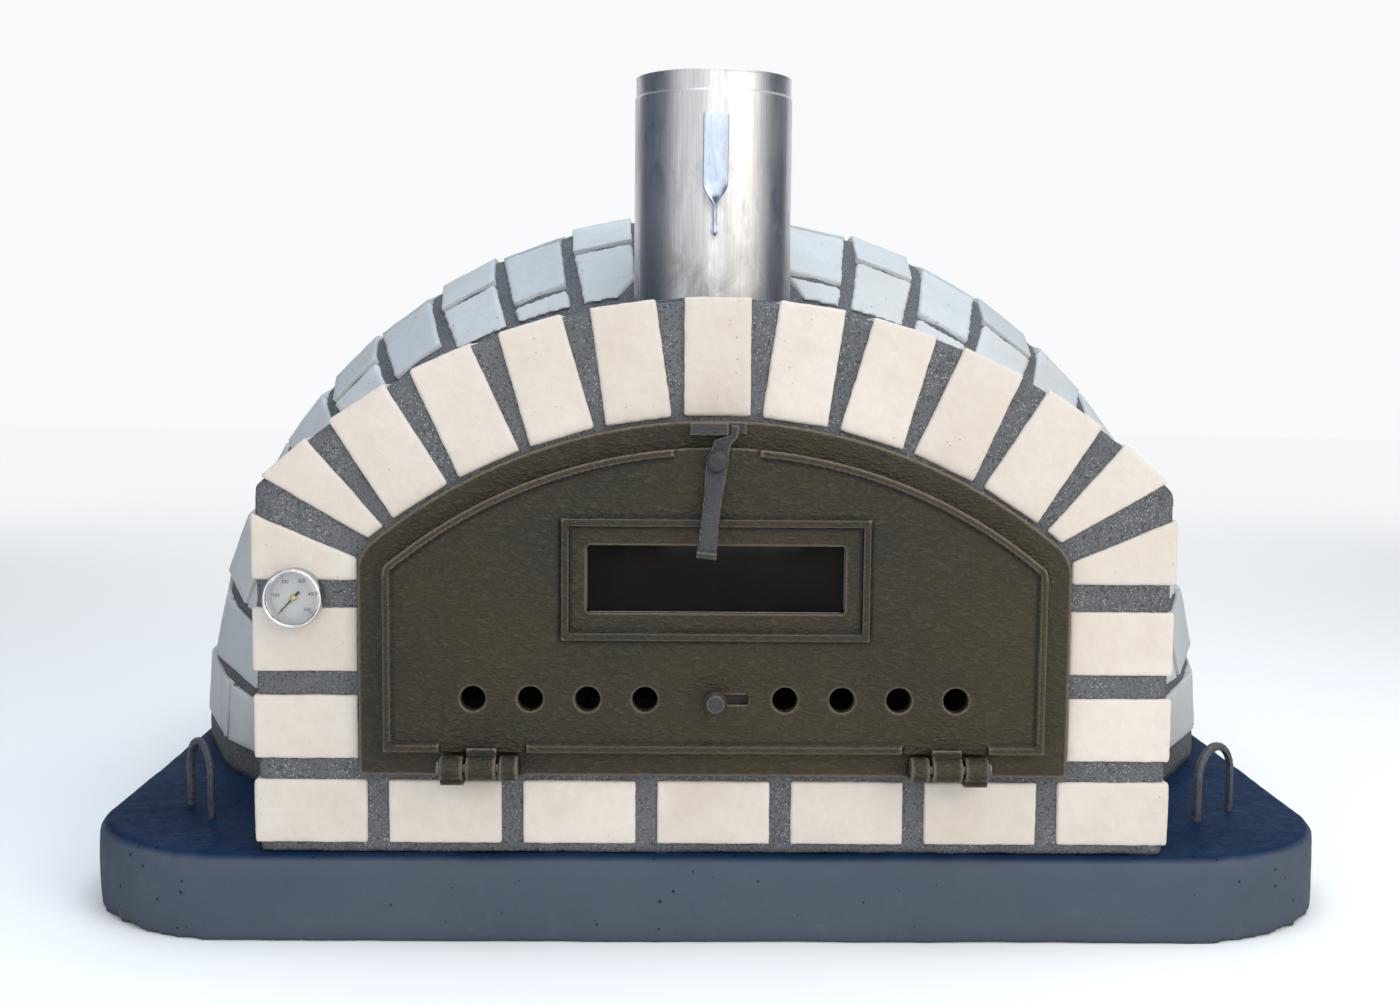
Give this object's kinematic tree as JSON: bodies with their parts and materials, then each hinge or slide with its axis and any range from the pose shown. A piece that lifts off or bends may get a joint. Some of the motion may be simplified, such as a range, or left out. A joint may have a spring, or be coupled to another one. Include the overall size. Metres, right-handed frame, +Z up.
{
  "type": "wood fired pizza oven",
  "caption": "Domed brick pizza oven on a cast slab, with an arched brick front, a drop-down iron door with window and air vents, a thermometer, and a round steel flue with a damper.",
  "frame": {"origin": "centre of the slab's underside, below the dome's axis", "axes": "+Z up along the dome's axis, +Y into the oven through the mouth, +X to the right seen from the front"},
  "size_m": [1.2, 1.289, 0.811],
  "materials": {
    "slab": "sealed and painted cast concrete, worn",
    "rebar": "painted ribbed steel bar",
    "board": "pressed insulation board",
    "firebrick": "smooth firebrick tile",
    "refractory": "cast refractory, sooted",
    "blanket": "ceramic fibre blanket",
    "mortar": "dark sanded mortar",
    "dome_brick": "pale cut brick",
    "face_brick": "pale speckled brick",
    "stainless": "brushed stainless steel",
    "iron": "rough cast iron, oiled dark",
    "pin_steel": "dark steel pin",
    "plate_steel": "heat resistant black paint",
    "screw_steel": "plain steel",
    "gasket": "woven fibre gasket",
    "glass": "smoked ceramic glass",
    "gauge_steel": "polished stainless steel",
    "dial": "matte white enamel",
    "needle": "black enamel",
    "lens": "clear glass"
  },
  "bodies": {
    "oven": {"arch_brick_01": "face_brick", "arch_brick_02": "face_brick", "arch_brick_03": "face_brick", "arch_brick_04": "face_brick", "arch_brick_05": "face_brick", "arch_brick_06": "face_brick", "arch_brick_07": "face_brick", "arch_brick_08": "face_brick", "arch_brick_09": "face_brick", "arch_brick_10": "face_brick", "arch_brick_11": "face_brick", "base_slab": "slab", "dome_bricks_crown": "dome_brick", "dome_bricks_left": "dome_brick", "dome_bricks_rear": "dome_brick", "dome_bricks_right": "dome_brick", "dome_mortar": "mortar", "door_frame": "iron", "entry_vault": "refractory", "facade_mortar": "mortar", "flue_collar": "refractory", "flue_mortar_bead": "mortar", "flue_pipe": "stainless", "hearth_insulation": "board", "hearth_tiles": "firebrick", "hinge_pin_left": "pin_steel", "hinge_pin_right": "pin_steel", "insulation_blanket": "blanket", "jamb_bricks_left": "face_brick", "jamb_bricks_right": "face_brick", "latch_catch": "iron", "lifting_loop_front_left": "rebar", "lifting_loop_front_right": "rebar", "lifting_loop_rear_left": "rebar", "lifting_loop_rear_right": "rebar", "refractory_dome": "refractory", "sill_bricks": "face_brick", "skewback_left": "face_brick", "skewback_right": "face_brick", "thermometer_case": "gauge_steel", "thermometer_dial": "dial", "thermometer_lens": "lens", "thermometer_probe": "gauge_steel"},
    "door": {"door_leaf": "iron", "window_gasket": "gasket", "window_glass": "glass", "glass_retainer": "plate_steel", "retainer_screws": "screw_steel", "vent_guide_upper": "plate_steel", "vent_guide_lower": "plate_steel", "latch_bolt": "iron"},
    "latch": {"latch_lever": "iron"},
    "vent": {"vent_slider": "plate_steel", "vent_knob": "iron"},
    "damper": {"damper_plate": "stainless", "damper_spindle": "stainless", "damper_screws": "stainless", "damper_handle": "stainless"},
    "pointer": {"thermometer_pointer": "needle"}
  },
  "joints": [
    {"name": "door_hinge", "type": "hinge", "parent": "oven", "child": "door", "pos_m": [0, -0.635, 0.166], "axis": [1, 0, 0], "range_deg": [0, 90]},
    {"name": "latch_turn", "type": "hinge", "parent": "door", "child": "latch", "pos_m": [0, -0.63, 0.441], "axis": [0, 1, 0], "range_deg": [-20, 90]},
    {"name": "vent_slide", "type": "slide", "parent": "door", "child": "vent", "axis": [1, 0, 0], "range_m": [0, 0.0255]},
    {"name": "damper_turn", "type": "hinge", "parent": "oven", "child": "damper", "pos_m": [0, -0.357, 0.655], "axis": [0, 1, 0], "range_deg": [0, 90]},
    {"name": "pointer_turn", "type": "hinge", "parent": "oven", "child": "pointer", "pos_m": [-0.3756, -0.61, 0.3153], "axis": [0, 1, 0], "range_deg": [0, 270], "stiffness_Nm_per_rad": 0.001}
  ]
}
